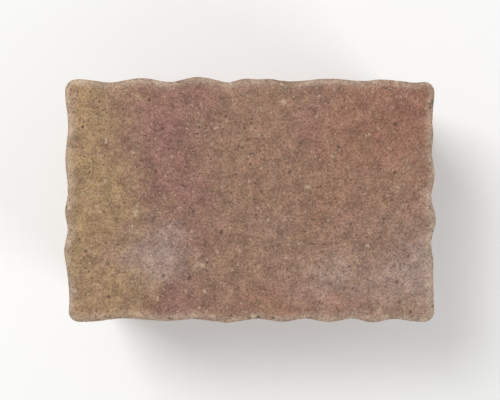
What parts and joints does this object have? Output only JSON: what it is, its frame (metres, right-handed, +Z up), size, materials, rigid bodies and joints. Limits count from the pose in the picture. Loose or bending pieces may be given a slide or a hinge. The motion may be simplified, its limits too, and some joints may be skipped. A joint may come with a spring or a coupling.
{
  "type": "concrete paving stone",
  "caption": "Rectangular concrete paving stone with irregularly waved flanks, rounded corners, a bevelled upper edge and spacer ribs low on the flanks, for laying in rows.",
  "frame": {"origin": "middle of the bed face, which lies on the ground", "axes": "+X along the stone, +Y across it, +Z up through the walking face"},
  "size_m": [0.21, 0.14, 0.08],
  "materials": {
    "concrete": "rough cast, brown with ochre and rose clouds"
  },
  "bodies": {
    "root": {"paving_stone": "concrete"}
  },
  "joints": []
}
